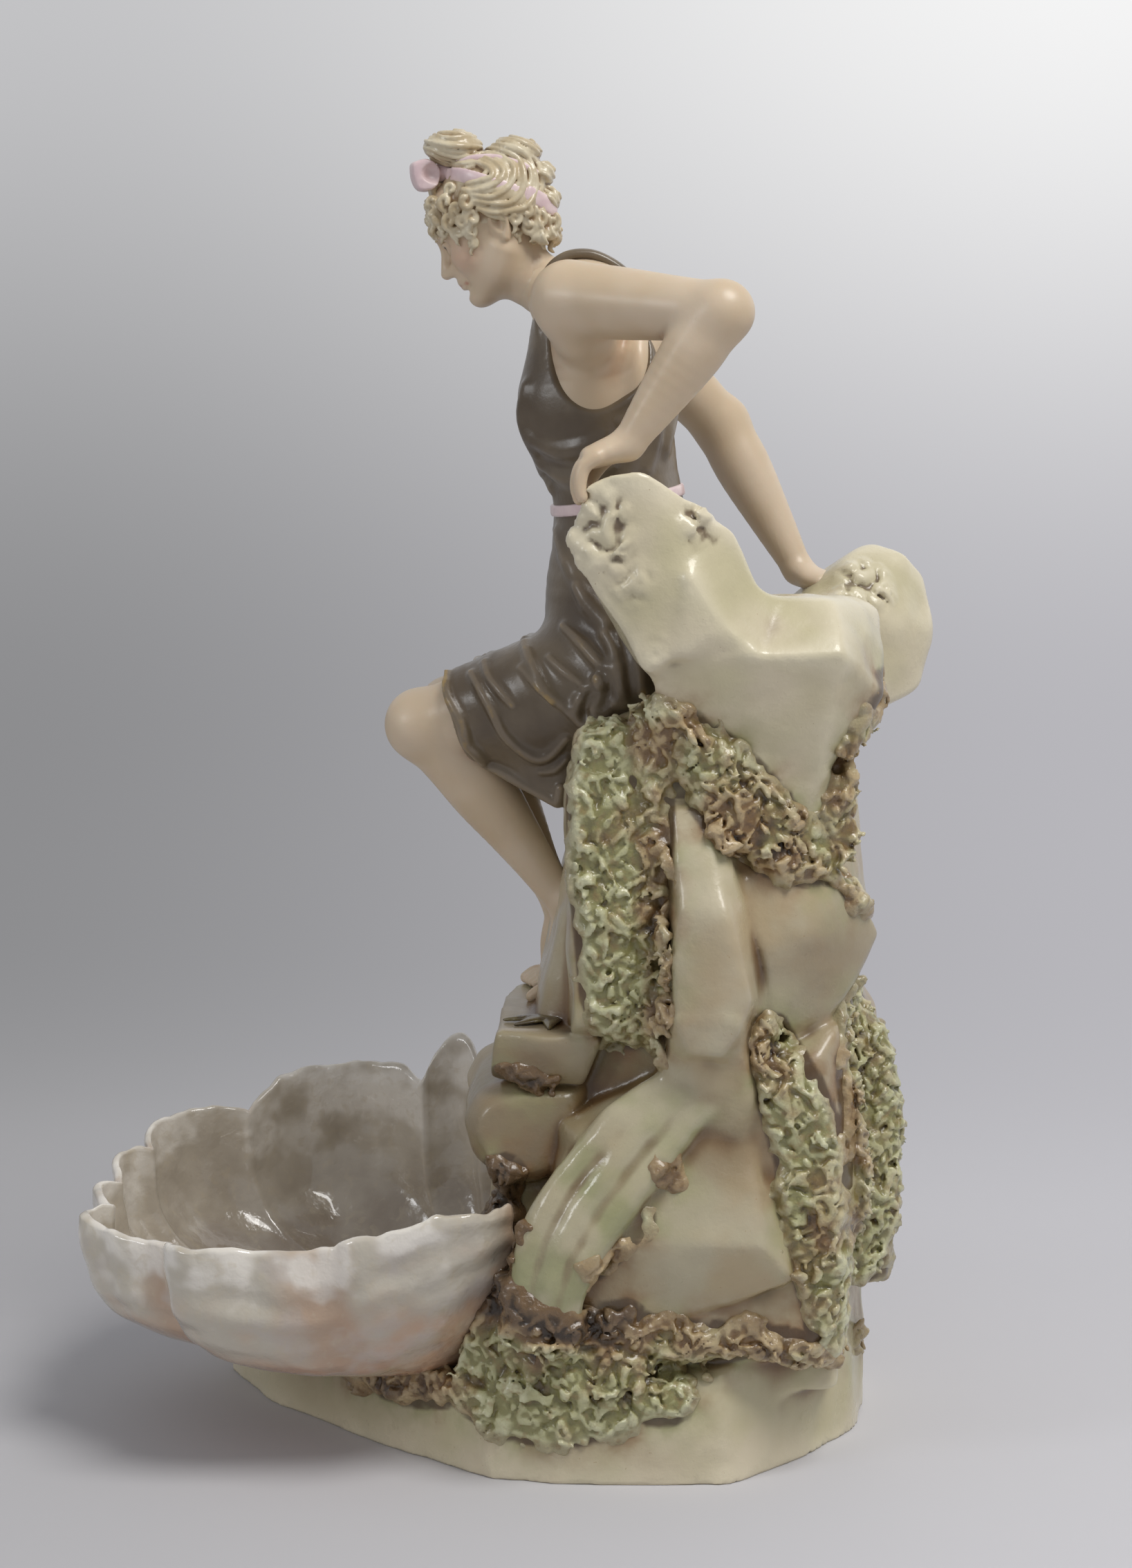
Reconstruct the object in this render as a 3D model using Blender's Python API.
"""Porcelain centrepiece: a maiden seated on a rock above a clam-shell bowl.

The real piece is cast, joined with slip and fired as one body, so this builds one solid.
Each form below is a loft, a hull or an ellipsoid. They are joined by a voxel remesh, as clay is
joined with slip, softened like glaze, cut flat underneath and opened at the top as a vase.

Frame: metres, +Z up, origin on the flat foot under the rock. The shell lies towards -X.
"""
import math

import bmesh
import bpy
from mathutils import Euler, Matrix, Vector
from mathutils.bvhtree import BVHTree

MM = 0.001

# Plinth: outline of the foot in plan, and its height
PLINTH_HEIGHT = 31
PLINTH_FLARE = 4
PLINTH_CLIMB = 34
PLINTH_CLIMB_START = 54
PLINTH_CLIMB_LENGTH = 46
PLINTH_OUTLINE = [
    (-132, 46), (-112, 6), (-88, -14), (-58, -47), (-28, -72), (0, -77), (36, -79), (58, -76), (80, -58),
    (106, -24), (114, 4), (110, 38), (90, 66), (52, 84), (2, 92), (-46, 96), (-92, 88), (-124, 70),
]

# Clam shell bowl: its plan, how its rim rises, and its lobes from the near side round to the far side
SHELL_CENTRE = (-79, -2)
SHELL_HALF_LENGTH = 88
SHELL_HALF_WIDTH = 82
SHELL_TURN = -12
SHELL_HINGE = (-8, 3)
SHELL_FLOOR = 32
SHELL_RIM = 95
SHELL_RISE_TO_ROCK = 0.13
SHELL_RISE_TO_FAR_SIDE = 0.09
SHELL_WALL = 5
SHELL_ROUNDNESS = 3.4
# Where the shell leaves the rock at the near side it is rounder, over this many degrees
SHELL_START = -142
SHELL_START_ROUNDNESS = 1.5
SHELL_START_BLEND = 62
# Each lobe: where it ends in degrees from the tip, how far it swells out, how far its rim rises, how far
# its swell leans to its end
SHELL_LOBES = [
    (-101, 8, 5, 1.2), (-60, 13, 4, 2.8), (-24, 12, 3, 2.4), (16, 8, 2, 1.4), (48, 9, 5, 0.8),
    (93, 11, 6, 0.9),
    (112, 7, 15, 1), (142, 8, 9, 1),
]

# Heights on the rock
LEDGE_HEIGHT = 160
SEAT_HEIGHT = 262
VASE_RIM_HEIGHT = 313
VASE_DEPTH = 72
VASE_CENTRE = (84, -10)
VASE_HALF_LENGTH = 35
VASE_HALF_WIDTH = 16
NEAR_HORN_HEIGHT = 356
FAR_HORN_HEIGHT = 325
MOSS_LUMP = 7.2
MOSS_UNEVEN = 0.25

# Figure: lengths between joints
TORSO_LENGTH = 126
SHOULDER_WIDTH = 80
UPPER_ARM = 64
FOREARM = 54
THIGH = 83
SHIN = 91
HEAD_HEIGHT = 46
HIP_WIDTH = 38
WAIST_WIDTH = 55
LIMB_GIRTH = 1.0
# Where the pelvis sits, forward of the vase and over the seat, and how the back and the head lean
PELVIS_X = 24
PELVIS_OVER_SEAT = 20
TORSO_LEAN = (-0.18, 0.024, 0.983)
HEAD_TILT = 30
HEAD_FROM_NECK = (-31.5, 2, 34.5)
# Above a horn's top or a ledge: the wrists and the ankles
LEFT_WRIST = (21, -69, 10)
RIGHT_WRIST = (88, 49, -11)
LEFT_ANKLE = (2, -4, 36)
RIGHT_ANKLE = (-1, 17, 33)
# The thigh that the skirt's folds were laid out on, and the hair's two rolls: forward, up, ring and cord
FOLD_THIGH = 83
HAIR_ROLLS = [(-5, 30, 6.5, 6), (-27, 14.5, 5, 5.8)]

# Clear of everything, to look at the rock from; and the share that spreads lumps evenly
LOOK_DISTANCE = 400
GOLDEN_SHARE = 0.618

# Meshing
VOXEL = 1.5
GLAZE_PASSES = 3
FACET_TARGET = 11300
TUBE_SIDES = 16
TUBE_STEPS = 4


def smooth_rows(rows, steps):
    """Points of a Catmull-Rom curve through rows of numbers."""
    padded = [rows[0], *rows, rows[-1]]
    out = []
    for a, b, c, d in zip(padded, padded[1:], padded[2:], padded[3:]):
        for k in range(steps):
            t = k / steps
            weights = (
                -t + 2 * t**2 - t**3,
                2 - 5 * t**2 + 3 * t**3,
                t + 4 * t**2 - 3 * t**3,
                t**3 - t**2,
            )
            out.append([0.5 * sum(w * v for w, v in zip(weights, values)) for values in zip(a, b, c, d)])
    out.append(list(rows[-1]))
    return out


class Clay:
    """Closed forms that lie in one mesh until they are joined."""

    def __init__(self):
        self.bm = bmesh.new()

    def loft(self, rings):
        """Skins a row of equal rings and closes both ends with a point at each end ring's middle."""
        rows = [[self.bm.verts.new(p) for p in ring] for ring in rings]
        count = len(rows[0])
        for low, high in zip(rows, rows[1:]):
            for k in range(count):
                after = (k + 1) % count
                self.bm.faces.new((low[k], low[after], high[after], high[k]))
        for row, order in ((rows[0], -1), (rows[-1], 1)):
            middle = sum((v.co for v in row), Vector()) / count
            tip = self.bm.verts.new(middle)
            for k in range(count):
                pair = (row[k], row[(k + 1) % count])[::order]
                self.bm.faces.new((*pair, tip))

    def tube(self, knots, across=(0.2, 0.98, 0)):
        """A limb: knots are (x, y, z, half width along across, half depth), with rounded ends."""
        knots = [k if len(k) == 5 else (*k, k[3]) for k in knots]
        rows = smooth_rows(knots, TUBE_STEPS)
        centres = [Vector(r[:3]) for r in rows]
        ends = (centres[1] - centres[0]).normalized(), (centres[-1] - centres[-2]).normalized()
        rings = []

        def ring(centre, tangent, wide, deep):
            side = Vector(across) - tangent * tangent.dot(Vector(across))
            if side.length < 0.2:
                side = tangent.orthogonal()
            side.normalize()
            front = tangent.cross(side)
            turns = [2 * math.pi * k / TUBE_SIDES for k in range(TUBE_SIDES)]
            rings.append([centre + side * wide * math.cos(a) + front * deep * math.sin(a) for a in turns])

        def dome(centre, tangent, wide, deep, angles, sign):
            reach = min(wide, deep)
            for a in angles:
                shrink = math.cos(a)
                ring(centre + tangent * sign * reach * math.sin(a), tangent, wide * shrink, deep * shrink)

        steps = [math.radians(a) for a in (80, 55, 28)]
        dome(centres[0], ends[0], rows[0][3], rows[0][4], steps, -1)
        for i, (centre, row) in enumerate(zip(centres, rows)):
            before, after = centres[max(i - 1, 0)], centres[min(i + 1, len(centres) - 1)]
            ring(centre, (after - before).normalized(), row[3], row[4])
        dome(centres[-1], ends[1], rows[-1][3], rows[-1][4], steps[::-1], 1)
        self.loft(rings)

    def blob(self, centre, radii, turn=(0, 0, 0)):
        """An ellipsoid."""
        place = Matrix.Translation(centre) @ Euler(turn).to_matrix().to_4x4() @ Matrix.Diagonal((*radii, 1))
        bmesh.ops.create_icosphere(self.bm, subdivisions=3, radius=1, matrix=place)

    def hull(self, points):
        """A faceted boulder: the convex hull of its corners."""
        part = bmesh.new()
        for p in points:
            part.verts.new(p)
        done = bmesh.ops.convex_hull(part, input=part.verts)
        spare = [g for g in done["geom_interior"] + done["geom_unused"] if isinstance(g, bmesh.types.BMVert)]
        bmesh.ops.delete(part, geom=list(set(spare)), context="VERTS")
        mesh = bpy.data.meshes.new("hull")
        part.to_mesh(mesh)
        part.free()
        self.bm.from_mesh(mesh)
        bpy.data.meshes.remove(mesh)

    def boulder(self, outline, near, far, chamfer=5):
        """A rock with this outline in X and Z between two depths, its near and far faces drawn in."""
        middle_x = sum(p[0] for p in outline) / len(outline)
        middle_z = sum(p[1] for p in outline) / len(outline)
        size = max(math.dist(p, (middle_x, middle_z)) for p in outline)
        points = []
        for depth, inset in ((near, chamfer), (near + chamfer, 0), (far - chamfer, 0), (far, chamfer)):
            share = 1 - inset / size
            for x, z in outline:
                points.append((middle_x + (x - middle_x) * share, depth, middle_z + (z - middle_z) * share))
        self.hull(points)

    def object(self, name):
        bmesh.ops.scale(self.bm, vec=(MM, MM, MM), verts=self.bm.verts)
        bmesh.ops.recalc_face_normals(self.bm, faces=self.bm.faces)
        mesh = bpy.data.meshes.new(name)
        self.bm.to_mesh(mesh)
        self.bm.free()
        obj = bpy.data.objects.new(name, mesh)
        bpy.context.scene.collection.objects.link(obj)
        return obj


def bend(start, end, first, second, pole):
    """Where the elbow or knee lies between two points for two limb lengths, bent towards pole."""
    start, end = Vector(start), Vector(end)
    span = end - start
    reach = min(span.length, 0.999 * (first + second))
    along = (first**2 - second**2 + reach**2) / (2 * reach)
    rise = math.sqrt(max(first**2 - along**2, 0))
    line = span.normalized()
    pole = Vector(pole)
    up = (pole - line * pole.dot(line)).normalized()
    return start + line * along + up * rise


def plinth(clay):
    """The foot: its sides draw in upwards, and its top climbs to the back."""
    rings = []
    for share, spread in ((-0.12, PLINTH_FLARE), (0, PLINTH_FLARE), (0.85, 1), (1, -4)):
        ring = []
        for x, y in PLINTH_OUTLINE:
            out = Vector((x, y, 0)).normalized() * (spread - PLINTH_FLARE)
            climb = min(max((x - PLINTH_CLIMB_START) / PLINTH_CLIMB_LENGTH, 0), 1)
            ring.append(Vector((x, y, share * (PLINTH_HEIGHT + PLINTH_CLIMB * climb))) + out)
        rings.append(ring)
    clay.loft(rings)


def shell_lobe(fan):
    """How far the shell swells and rises at an angle from its tip, in degrees: nothing in the notches."""
    start = SHELL_START
    for end, swell, rise, lean in SHELL_LOBES:
        if fan <= end:
            share = max(fan - start, 0) / (end - start)
            wave = math.sin(math.pi * share**lean) ** 0.7 if 0 < share < 1 else 0
            return swell * wave, rise * wave
        start = end
    return 0, 0


def shell_point(fan, rise, depth):
    """A point of the shell: an angle from its tip, degrees up its side, how far outside its inner face."""
    up = math.radians(rise)
    blend = min(max((fan - SHELL_START) / SHELL_START_BLEND, 0), 1)
    roundness = SHELL_START_ROUNDNESS + (SHELL_ROUNDNESS - SHELL_START_ROUNDNESS) * blend**2 * (3 - 2 * blend)
    along = math.sin(up) ** (2 / roundness)
    lift = 1 - math.cos(up) ** (2 / roundness)
    swell, rim_rise = shell_lobe(fan)
    swell = swell * along**1.5 + depth
    turn = math.radians(fan)
    length, width = SHELL_HALF_LENGTH + swell, SHELL_HALF_WIDTH + swell
    local = Vector((-length * math.cos(turn), width * math.sin(turn), 0))
    rim = Vector((*SHELL_CENTRE, 0)) + Matrix.Rotation(math.radians(SHELL_TURN), 3, "Z") @ local
    plan = Vector((*SHELL_HINGE, 0)).lerp(rim, along)
    rim_height = SHELL_RIM + SHELL_RISE_TO_ROCK * (rim.x - SHELL_CENTRE[0]) + SHELL_RISE_TO_FAR_SIDE * rim.y
    floor = SHELL_FLOOR - depth
    return Vector((plan.x, plan.y, floor + (rim_height + rim_rise - floor) * lift))


def shell(clay, fans=90, steps=14):
    """The bowl as one closed sheet, its outside and inside met along the rim."""
    bm = clay.bm
    rows = []
    end = SHELL_LOBES[-1][0]
    turns = [SHELL_START + (end - SHELL_START) * i / fans for i in range(fans + 1)]
    for depth, order in ((SHELL_WALL, 1), (0, -1)):
        for k in range(1, steps + 1)[::order]:
            rows.append([bm.verts.new(shell_point(turn, 90 * k / steps, depth)) for turn in turns])
    outer, inner = Vector((*SHELL_HINGE, SHELL_FLOOR - SHELL_WALL)), Vector((*SHELL_HINGE, SHELL_FLOOR))
    tips = bm.verts.new(outer), bm.verts.new(inner)
    for low, high in zip(rows, rows[1:]):
        for i in range(fans):
            bm.faces.new((low[i], low[i + 1], high[i + 1], high[i]))
    for i in range(fans):
        bm.faces.new((tips[0], rows[0][i + 1], rows[0][i]))
        bm.faces.new((tips[1], rows[-1][i], rows[-1][i + 1]))
    for edge in (0, fans):
        side = [tips[0], *(row[edge] for row in rows), tips[1]]
        bm.faces.new(side if edge else side[::-1])


def rocks(clay):
    ledge, seat, rim = LEDGE_HEIGHT, SEAT_HEIGHT, VASE_RIM_HEIGHT
    # Core of the outcrop, from the plinth to the seat
    clay.hull([
        (-38, -46, 26), (-30, 62, 26), (20, -70, 26), (98, -52, 26), (104, 40, 26), (60, 76, 26), (0, 84, 26),
        (-20, -40, 120), (-16, 54, 118), (104, -34, 120), (92, 48, 120), (24, 70, 124), (12, -58, 120),
        (10, -40, seat - 8), (6, 40, seat - 10), (40, 58, seat - 10), (92, -36, seat), (96, 40, seat),
        (52, -56, seat - 6),
    ])
    # Seat and the mass behind the figure
    clay.hull([
        (2, -34, seat - 44), (0, 44, seat - 46), (8, -40, seat - 2), (6, 46, seat - 4), (50, -56, seat + 8),
        (48, 52, seat + 14), (56, -40, rim - 12), (58, 36, rim - 14), (100, -40, rim - 6), (104, 30, rim - 4),
        (90, -50, seat - 30), (96, 50, seat - 30),
    ])
    # Slab in front of the vase, with its ridge
    clay.hull([
        (60, -62, rim + 1), (91, -64, rim), (56, -84, rim - 18), (94, -84, rim - 17), (30, -76, rim - 26),
        (34, -68, rim - 52), (84, -66, rim - 70), (70, -64, rim - 72), (111, -58, rim - 34),
        (112, -30, rim - 6),
        (110, -20, rim - 40), (60, -30, rim - 60), (58, -30, rim - 4), (100, -30, rim - 1),
    ])
    # Near horn, under the left hand
    horn = NEAR_HORN_HEIGHT
    clay.hull([
        (9, -76, horn - 4), (9, -60, horn - 4), (19, -78, horn), (28, -60, horn - 2), (31, -76, horn - 5),
        (2, -72, horn - 20), (3, -56, horn - 24), (6, -76, horn - 34), (18, -80, horn - 45),
        (27, -82, horn - 66),
        (24, -52, horn - 66), (42, -74, horn - 14), (58, -68, horn - 21), (65, -62, horn - 41),
        (50, -84, horn - 52),
        (58, -46, horn - 24), (66, -44, horn - 46), (34, -44, horn - 74), (60, -60, horn - 76),
    ])
    # Far horn, under the right hand
    far = FAR_HORN_HEIGHT
    clay.hull([
        (82, 52, far - 23), (84, 30, far - 24), (96, 60, far - 12), (104, 34, far - 4), (115, 46, far),
        (128, 40, far - 4),
        (136, 48, far - 13), (139, 40, far - 29), (137, 54, far - 46), (132, 34, far - 56),
        (112, 60, far - 66),
        (112, 20, far - 62), (84, 58, far - 64), (100, 16, far - 20), (124, 22, far - 30),
        (118, 68, far - 24), (90, 66, far - 40),
    ])
    # Moss column at the near left, and the rocks below the slab
    clay.boulder([
        (4, 264), (-1, 242), (0, 222), (4, 206), (0, 190), (1, ledge), (42, ledge - 4), (48, 262), (30, 274),
    ], -68, -24)
    clay.hull([
        (38, -86, 207), (55, -91, 205), (64, -88, 177), (54, -90, 158), (41, -88, 158), (36, -86, 180),
        (37, -72, 241), (46, -72, 242), (53, -74, 233), (61, -78, 212), (68, -72, 186), (69, -70, 168),
        (58, -78, 154),
        (33, -60, 240), (34, -64, 206), (34, -66, 172), (40, -60, 156), (50, -50, 240), (64, -48, 200),
        (66, -48, 166),
    ])
    clay.hull([
        (64, -72, 210), (88, -66, 215), (100, -58, 208), (113, -44, 192), (99, -58, 174),
        (93, -60, 163), (80, -66, 157),
        (71, -74, 172), (67, -78, 192), (84, -74, 196), (60, -30, 216), (92, -20, 214), (110, -18, 190),
        (94, -18, 160),
        (70, -30, 160),
    ])
    clay.boulder([
        (26, 112), (46, 140), (62, 128), (68, 112), (78, 88), (84, 70), (76, 62), (40, 60), (16, 84),
    ], -92, -40, 10)
    clay.boulder([(-2, 128), (46, 150), (96, 164), (104, 100), (96, 40), (10, 40), (-8, 80)], -76, 30, 12)
    # Ledge under the feet and the boulder below it
    clay.hull([
        (-24, -58, ledge), (-23, 4, ledge), (-14, 34, ledge - 1), (14, 40, ledge), (14, -62, ledge - 1),
        (-8, -64, ledge - 2),
        (-27, -56, ledge - 18), (-25, 6, ledge - 18), (6, -60, ledge - 20), (14, 36, ledge - 24),
    ])
    clay.boulder([
        (-37, 126), (-32, 136), (-20, 141), (8, 141), (12, 112), (-12, 102), (-22, 103), (-33, 113),
    ], -60, 24, 8)
    clay.boulder([(-24, 108), (16, 112), (20, 30), (-34, 30), (-30, 70)], -48, 58, 10)
    # Back of the outcrop
    clay.hull([
        (96, -44, 60), (119, -30, 60), (120, 10, 60), (112, 42, 60), (92, 60, 62), (119, -26, 112),
        (120, 12, 106),
        (100, 48, 118), (88, -44, 118), (114, -32, 148), (118, 22, 150), (92, 36, 162), (80, -34, 166),
        (104, 6, 178),
    ])
    clay.hull([
        (84, -30, 176), (104, -34, 190), (112, 4, 196), (98, 36, 186), (88, -30, 250), (104, 0, 262),
        (96, 36, 262),
        (70, 0, 180), (70, 0, 250),
    ])
    # Far side of the outcrop, three boulders on each other
    clay.hull([
        (-26, 40, 24), (-8, 82, 22), (40, 88, 22), (88, 66, 24), (-22, 44, 108), (0, 74, 94),
        (44, 84, 92), (86, 62, 100),
        (-8, 40, 128), (30, 62, 140), (80, 44, 138),
    ])
    clay.hull([
        (-10, 36, 122), (6, 66, 120), (46, 78, 124), (86, 58, 126), (100, 36, 128), (-2, 40, 176),
        (14, 64, 186),
        (52, 74, 180), (92, 50, 190), (40, 40, 200),
    ])
    clay.hull([
        (4, 30, 186), (10, 58, 190), (44, 70, 184), (88, 56, 186), (102, 34, 190), (6, 34, 240),
        (22, 58, 244),
        (60, 68, 238), (98, 50, 244), (30, 40, seat), (84, 34, seat + 6),
    ])
    # Water running from the ledge to the plinth
    for shift, radius in ((0, 5.5), (8, 5), (15, 4.5)):
        clay.tube([
            (48 - shift * 0.2, -70, 142 - shift * 0.4, radius * 0.8),
            (24 + shift * 0.5, -76, 130 - shift, radius),
            (6 + shift, -80, 110 - shift * 0.6, radius), (-6 + shift, -82, 82, radius),
            (-8 + shift, -78, 60, radius),
        ])


def moss(clay):
    """Crusts of clay crumbs: lumps pressed on to the first rock met from one side, over sloping bands."""
    # Each band: the side it is seen from, its middle line from (across, height) to (across, height), its
    # half width and how many lumps it holds. Across is X from the near and far sides, and Y from behind.
    bands = [
        ("near", (14, 268), (16, 162), 12, 34), ("near", (29, 262), (30, 160), 5, 14),
        ("near", (32, 270), (62, 244), 9, 11), ("near", (62, 244), (84, 216), 9, 10),
        ("near", (107, 272), (95, 216), 6, 9),
        ("near", (78, 158), (92, 52), 9, 26), ("near", (-42, 50), (-10, 46), 13, 15),
        ("near", (-10, 44), (38, 38), 13, 20),
        ("near", (6, 60), (94, 46), 5, 15), ("near", (-88, 27), (-46, 30), 7, 11), ("near", (-42, 60),
        (-22, 104), 7, 9),
        ("near", (12, 344), (28, 324), 5, 6), ("near", (45, 341), (49, 336), 2, 2), ("near", (100, 311),
        (126, 304), 5, 6),
        ("behind", (-28, 160), (-28, 78), 14, 22), ("behind", (36, 150), (40, 92), 10, 11),
        ("behind", (-16, 62), (-14, 26), 6, 5),
        ("behind", (-32, 272), (-30, 216), 8, 8),
        ("far", (62, 244), (52, 158), 11, 16), ("far", (-8, 44), (86, 46), 11, 20), ("far", (-14, 150),
        (-20, 104), 8, 7),
    ]
    looks = {"near": Vector((0, 1, 0)), "far": Vector((0, -1, 0)), "behind": Vector((-1, 0, 0))}
    rock = BVHTree.FromBMesh(clay.bm)
    for side, start, end, half_width, count in bands:
        look = looks[side]
        run = Vector((end[0] - start[0], end[1] - start[1]))
        cross = Vector((run.y, -run.x)).normalized()
        for k in range(count):
            aside = half_width * (2 * (k * GOLDEN_SHARE % 1) - 1)
            spot = Vector(start) + run * (k + 0.5) / count + cross * aside
            origin = Vector((spot.x, 0, spot.y)) if look.y else Vector((0, spot.x, spot.y))
            place, normal, _, _ = rock.ray_cast(origin - look * LOOK_DISTANCE, look)
            if place:
                radius = MOSS_LUMP * (1 + MOSS_UNEVEN * math.cos(k * 3.7 + start[0]))
                out = -normal if normal.dot(look) > 0 else normal
                turn = out.to_track_quat("Z", "Y").to_euler()
                clay.blob(place - out * radius * 0.15, (radius, radius * 0.85, radius * 0.55), turn)


def figure(clay):
    forward = Vector((-0.94, 0.34, 0))
    across = Vector((0.2, 0.98, 0)).normalized()
    pelvis = Vector((PELVIS_X, 0, SEAT_HEIGHT + PELVIS_OVER_SEAT))
    neck = pelvis + Vector(TORSO_LEAN) * TORSO_LENGTH
    shoulder_line = Vector((0.15, 0.988, 0))
    left_shoulder = neck - shoulder_line * SHOULDER_WIDTH / 2 + Vector((8, 0, 8))
    right_shoulder = neck + shoulder_line * SHOULDER_WIDTH / 2 + Vector((8, 0, 7))
    girth = LIMB_GIRTH

    # Torso in its dress, and the belt
    waist = WAIST_WIDTH / 2
    height = SEAT_HEIGHT

    def slice_at(share, wide, deep, shift=0):
        at = pelvis.lerp(neck, share)
        return (at.x + shift, at.y, at.z, wide, deep)

    clay.tube([
        slice_at(-0.12, 34, 28), slice_at(0.06, 36, 29), slice_at(0.25, 32, 25), slice_at(0.5, waist, 22.5),
        slice_at(0.66, 31, 24, 2), slice_at(0.82, 34, 23, 4), slice_at(0.94, 31, 19, 6),
        slice_at(1.02, 22, 14, 6),
    ], across)
    clay.tube([slice_at(0.48, waist + 1.6, 24), slice_at(0.52, waist + 1.6, 24)], across)
    for side in (-1, 1):
        clay.blob(pelvis.lerp(neck, 0.74) + forward * 14 + across * side * 15, (12, 13, 14))
    # Shoulders, neck
    nape = [neck + Vector(p) for p in ((6, -14, 8), (4, 0, 7), (8, 16, 8))]
    bridge = [left_shoulder, *nape, right_shoulder]
    clay.tube([(*p, 11.5, 11.5) for p in bridge])

    # Arms: each hand rests on a horn of the rock
    left_wrist = Vector(LEFT_WRIST) + Vector((0, 0, NEAR_HORN_HEIGHT))
    right_wrist = Vector(RIGHT_WRIST) + Vector((0, 0, FAR_HORN_HEIGHT))
    left_elbow = bend(left_shoulder, left_wrist, UPPER_ARM, FOREARM, (1, -0.5, 0.35))
    right_elbow = bend(right_shoulder, right_wrist, UPPER_ARM, FOREARM + 9, (0.4, 0.8, 0.3))
    arms = (left_shoulder, left_elbow, left_wrist), (right_shoulder, right_elbow, right_wrist)
    for shoulder, elbow, wrist in arms:
        middle = shoulder.lerp(elbow, 0.45)
        clay.tube([(*shoulder, 12.5 * girth), (*middle, 11.8 * girth), (*elbow, 10.4 * girth)])
        forearm = (0, 10.4), (0.3, 10.6), (0.7, 8), (1, 6.4)
        clay.tube([(*elbow.lerp(wrist, share), radius * girth) for share, radius in forearm])
    top = NEAR_HORN_HEIGHT
    clay.tube([(*left_wrist, 6.5, 5.5), (13, -69, top + 6, 8.5, 4.5), (8, -68, top, 8, 3.6)])
    for k in range(4):
        y = -75 + 4.2 * k
        clay.tube([(9, y, top + 3, 2.6), (5, y, top - 4, 2.4), (5.5, y, top - 11, 2)])
    top = FAR_HORN_HEIGHT
    clay.tube([(*right_wrist, 6.5, 5.5), (94, 44, top - 14, 8, 4.5), (99, 38, top - 13, 7, 3.5)])

    # Legs: both feet stand on their toes on the ledge
    ledge = LEDGE_HEIGHT
    hips = [pelvis + across * side * HIP_WIDTH / 2 + Vector((-3, 0, -2)) for side in (-1, 1)]
    ankles = [Vector(ankle) + Vector((0, 0, ledge)) for ankle in (LEFT_ANKLE, RIGHT_ANKLE)]
    poles = (-1, 0.22, 0.3), (-1, 0.5, 0.3)
    knees = [bend(h, a, THIGH, SHIN, p) for h, a, p in zip(hips, ankles, poles)]
    for hip, knee, ankle in zip(hips, knees, ankles):
        thigh = (0, 20), (0.55, 17), (0.93, 14), (1, 13)
        shin = (0, 13), (0.22, 12), (0.45, 12), (0.75, 8.6), (1, 6.8)
        clay.tube([(*hip.lerp(knee, share), radius * girth) for share, radius in thigh])
        clay.tube([(*knee.lerp(ankle, share), radius * girth) for share, radius in shin])
        x, y = ankle.x, ankle.y
        clay.tube([
            (x + 1, y, ankle.z + 2, 6.6), (x - 1, y - 1, ledge + 18, 7, 6.4),
            (x - 4, y - 1, ledge + 9, 8, 5.4),
            (x - 9, y - 1, ledge + 4.5, 7.6, 3.6), (x - 13, y - 1, ledge + 3, 6.4, 2.6),
        ])

    # Skirt over both thighs, its lap and the part that hangs at the near side
    cloth = (-0.05, 25), (0.25, 23), (0.5, 20.5), (0.74, 18)
    for hip, knee in zip(hips, knees):
        clay.tube([(*hip.lerp(knee, share), r * girth, r * girth * 0.96) for share, r in cloth])
    lap = [hips[0].lerp(hips[1], 0.5), knees[0].lerp(knees[1], 0.5)]
    clay.tube([(*lap[0].lerp(lap[1], s), 24, 17) for s in (0, 0.35, 0.68)], across)
    near_knee, near_hip = knees[0], hips[0]
    hang = near_hip.lerp(near_knee, 0.42)
    clay.hull([
        near_hip.lerp(near_knee, 0.72) + Vector((0, -8, -6)),
        near_hip.lerp(near_knee, 0.66) + Vector((0, 8, -16)),
        hang + Vector((2, -12, -26)), hang + Vector((12, -13, -41)), hang + Vector((20, -14, -38)),
        hang + Vector((24, -14, 0)), hang + Vector((2, 4, -26)), hang + Vector((12, 3, -40)),
        hang + Vector((22, 2, -36)),
        hang + Vector((24, 6, 0)),
    ])
    # Folds and the rolled hem, raised cords of clay on the near side, as (x, z, radius) from the hip
    def near_side(x, z):
        """How far out the cloth lies at its near side."""
        share = (near_hip.x - x) / (near_hip.x - near_knee.x)
        axis = near_hip.lerp(near_knee, min(max(share, 0), 1))
        reach = 22 - 4 * share
        return axis.y - math.sqrt(max(reach**2 - (z - axis.z) ** 2, 0.3 * reach**2)) * girth

    folds = [
        [(-33, 15, 1.6), (-30, 8, 2), (-26, 0, 2.2), (-20, -6, 2), (-15, -10, 1.6)],
        [(-48, 8, 1.4), (-45, 1, 2), (-40, -6, 1.8)],
        [(-51, 1, 1.4), (-46, -6, 2), (-41, -14, 2.2), (-33, -25, 2.2), (-26, -29, 2), (-18, -22, 1.8)],
        [(-22, 8, 1.4), (-16, 4, 1.8), (-11, 0, 1.4)],
        [(-17, 19, 1.6), (-9, 13, 2.2), (-2, 7, 2.4), (-6, 1, 2)],
        [(-61, 3, 1.4), (-60, -6, 1.8), (-54, -16, 1.8), (-49, -28, 1.8), (-38, -41, 2), (-28, -49, 2.2),
         (-20, -44, 2)],
    ]
    for fold in folds:
        knots = []
        for x, z, radius in fold:
            at_x, at_z = near_hip.x + x * THIGH / FOLD_THIGH, near_hip.z + z * THIGH / FOLD_THIGH
            knots.append((at_x, near_side(at_x, at_z), at_z, radius))
        clay.tube(knots)
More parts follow.
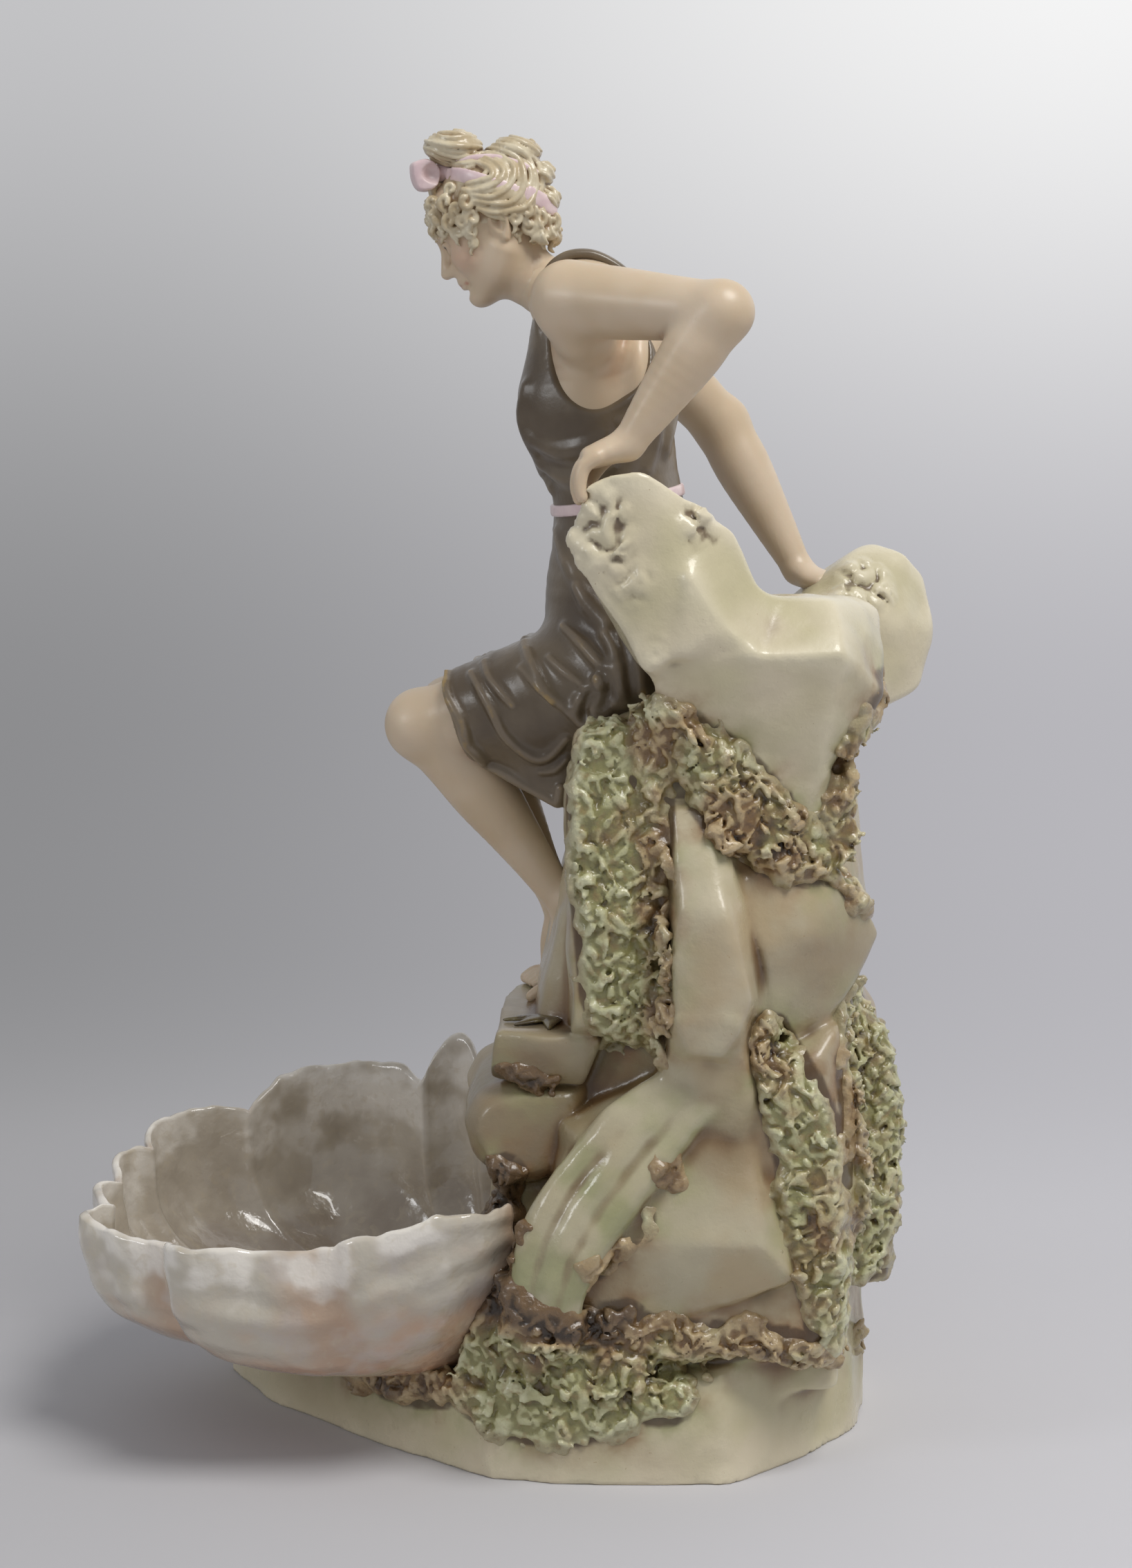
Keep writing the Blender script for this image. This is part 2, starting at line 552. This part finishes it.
    # Cloth bunched where it meets the rock
    bunches = ((-6, -6, 14), (2, -10, 4), (2, -12, -8)), ((-14, -10, 10), (-8, -14, 0), (-14, -12, -12))
    for points in bunches:
        clay.tube([(*(near_hip + Vector(p)), r) for p, r in zip(points, (3, 4.4, 3.4))])
    # Strap over the near shoulder
    clay.tube([
        (*(neck + Vector((-7, -20, -4))), 2), (*(neck + Vector((1, -21, 11))), 2),
        (*(neck + Vector((12, -22, 17))), 2),
        (*(neck + Vector((26, -22, 8))), 2),
    ])


def head(clay):
    size = HEAD_HEIGHT / 46
    pelvis = Vector((PELVIS_X, 0, SEAT_HEIGHT + PELVIS_OVER_SEAT))
    neck = pelvis + Vector(TORSO_LEAN) * TORSO_LENGTH
    tilt = math.radians(HEAD_TILT)
    centre = neck + Vector(HEAD_FROM_NECK) * (0.5 + size / 2)
    ahead = Vector((-math.cos(tilt), 0, -math.sin(tilt)))
    up = Vector((-math.sin(tilt), 0, math.cos(tilt)))
    side = Vector((0, 1, 0))

    def at(f, s, u):
        return centre + (ahead * f + side * s + up * u) * size

    turn = (0, -tilt, 0)

    def ball(place, radii):
        """Radii run ahead, sideways and up in the head's own frame."""
        clay.blob(at(*place), [r * size for r in radii], turn)

    nape = neck + Vector((2, 1, 2))
    clay.tube([(*nape, 11), (*neck.lerp(at(-6, 0, -14), 0.6), 9.6), (*at(-5, 0, -10), 9.6)])
    ball((-3, 0, 5), (19, 15, 17.5))
    ball((4, 0, -6), (13.5, 12.5, 15))
    ball((8.5, 0, -14), (7.5, 8.5, 8))
    ball((12.5, 0, -19.5), (3.6, 4.2, 3.6))
    clay.tube([(*at(16, 0, 0), 1.6 * size), (*at(18.5, 0, -5), 1.9 * size), (*at(20, 0, -8), 2.2 * size)])
    ball((16, 0, -13), (1.8, 4, 1))
    ball((15.6, 0, -15), (1.8, 3.6, 1.2))
    for s in (-1, 1):
        ball((9.5, 6.5 * s, -8), (5, 5, 5))
        ball((-4, 14 * s, -3), (2.4, 2, 4))
        ball((13, 4.5 * s, 3.2), (3, 4.5, 1.8))
    # Hair: cap, the two coils on top, curls over the brow and at the nape
    ball((-5, 0, 8), (20.5, 18.5, 18))
    for front, over, roll, thick in HAIR_ROLLS:
        turns = [math.radians(40 * k) for k in range(10)]
        middle = at(front, 0, over)
        ring = [middle + Vector((math.cos(a), 1.1 * math.sin(a), 0.1 * math.sin(a))) * roll * size for a in turns]
        clay.tube([(*place, thick * size) for place in ring], (0, 0, 1))
        clay.blob(middle, (roll * size, roll * size, thick * 0.9 * size))
    ball((-24, 0, 8), (7, 8, 7))
    for k in range(9):
        turn_k = (k - 4) / 4
        ball((14.5 - 6 * turn_k**2, 15 * turn_k, 9 - 3 * turn_k**2), (4.4, 3.6, 4.8))
        ball((12 - 6 * turn_k**2, 16 * turn_k, 14 - 2 * turn_k**2), (4, 3.4, 3.6))
    for k in range(7):
        turn_k = (k - 3) / 3
        ball((-22 + 8 * turn_k**2, 13 * turn_k, -2 - 3 * math.cos(k * 2.0)), (4.6, 4.2, 5))
        ball((-18 + 7 * turn_k**2, 12 * turn_k, -10 - 2 * math.cos(k * 1.3)), (3.6, 3.4, 4))
    # Waves swept back over the ear
    for s in (-1, 1):
        for k in range(5):
            clay.tube([
                (*at(11 - k, 13.5 * s, 10 + 2.6 * k), 2.2 * size), (*at(1, 18 * s, 4 + 4 * k), 2.4 * size),
                (*at(-11, 16.5 * s, 6 + 4 * k), 2.4 * size), (*at(-20, 8 * s, 10 + 3 * k), 2 * size),
            ])
    # Bow on the ribbon
    for s in (-1, 1):
        knots = (10, 2, 21, 2.2, 1.6), (16, 6, 23, 5, 2), (19, 9, 23, 5.5, 1.6)
        clay.tube([(*at(f, y * s, u), wide * size, deep * size) for f, y, u, wide, deep in knots], up)


def material():
    glaze = bpy.data.materials.new("glazed_porcelain")
    glaze.use_nodes = True
    shader = glaze.node_tree.nodes["Principled BSDF"]
    shader.inputs["Base Color"].default_value = (0.62, 0.55, 0.42, 1)
    shader.inputs["Roughness"].default_value = 0.3
    shader.inputs["Metallic"].default_value = 0
    return glaze


def settle(obj):
    """Makes what the modifiers show the object's own mesh."""
    graph = bpy.context.evaluated_depsgraph_get()
    graph.update()
    mesh = bpy.data.meshes.new_from_object(obj.evaluated_get(graph))
    obj.modifiers.clear()
    obj.data = mesh
    return mesh


def join_with_slip(obj):
    """Joins the forms in obj into one skin and rounds it as glaze does."""
    remesh = obj.modifiers.new("slip", "REMESH")
    remesh.mode = "VOXEL"
    remesh.voxel_size = VOXEL * MM
    soften = obj.modifiers.new("glaze", "SMOOTH")
    soften.factor = 0.5
    soften.iterations = GLAZE_PASSES
    mesh = settle(obj)
    bm = bmesh.new()
    bm.from_mesh(mesh)
    keep_largest(bm)
    bmesh.ops.triangulate(bm, faces=bm.faces)
    bm.to_mesh(mesh)
    count = len(bm.faces)
    bm.free()
    return count


def keep_largest(bm):
    """Drops the closed pockets that are left between boulders."""
    left, islands = set(bm.verts), []
    while left:
        island, edge = set(), [left.pop()]
        while edge:
            vert = edge.pop()
            island.add(vert)
            for link in vert.link_edges:
                other = link.other_vert(vert)
                if other in left:
                    left.discard(other)
                    edge.append(other)
        islands.append(island)
    islands.sort(key=len)
    spare = [v for island in islands[:-1] for v in island]
    bmesh.ops.delete(bm, geom=spare, context="VERTS")


def cutter(name, clay):
    tool = clay.object(name)
    tool.hide_render = True
    tool.display_type = "WIRE"
    return tool


def vase_cutter():
    """The opening in the top of the rock, narrowing downwards."""
    clay = Clay()
    x, y = VASE_CENTRE
    rim, depth = VASE_RIM_HEIGHT, VASE_DEPTH
    clay.tube([
        (x + 3, y - 2, rim + 24, VASE_HALF_WIDTH * 1.4, VASE_HALF_LENGTH * 1.15),
        (x + 1, y, rim - 2, VASE_HALF_WIDTH, VASE_HALF_LENGTH),
        (x, y, rim - depth * 0.5, VASE_HALF_WIDTH * 0.85, VASE_HALF_LENGTH * 0.85),
        (x - 2, y, rim - depth + 12, VASE_HALF_WIDTH * 0.7, VASE_HALF_LENGTH * 0.65),
    ], (1, 0, 0))
    return cutter("vase_opening", clay)


def floor_cutter():
    clay = Clay()
    clay.hull([(x, y, z) for x in (-260, 260) for y in (-260, 260) for z in (-60, 0)])
    return cutter("floor", clay)


def cut(obj, tool):
    boolean = obj.modifiers.new(tool.name, "BOOLEAN")
    boolean.operation = "DIFFERENCE"
    boolean.object = tool


def main():
    for obj in list(bpy.data.objects):
        bpy.data.objects.remove(obj)
    clay = Clay()
    for form in (plinth, shell, rocks, moss, figure, head):
        form(clay)
    piece = clay.object("centerpiece")
    count = join_with_slip(piece)
    thin = piece.modifiers.new("facets", "DECIMATE")
    thin.ratio = min(1, FACET_TARGET / count)
    settle(piece)
    cut(piece, vase_cutter())
    cut(piece, floor_cutter())
    settle(piece)
    piece.data.materials.clear()
    piece.data.materials.append(material())
    piece.data.shade_smooth()


main()
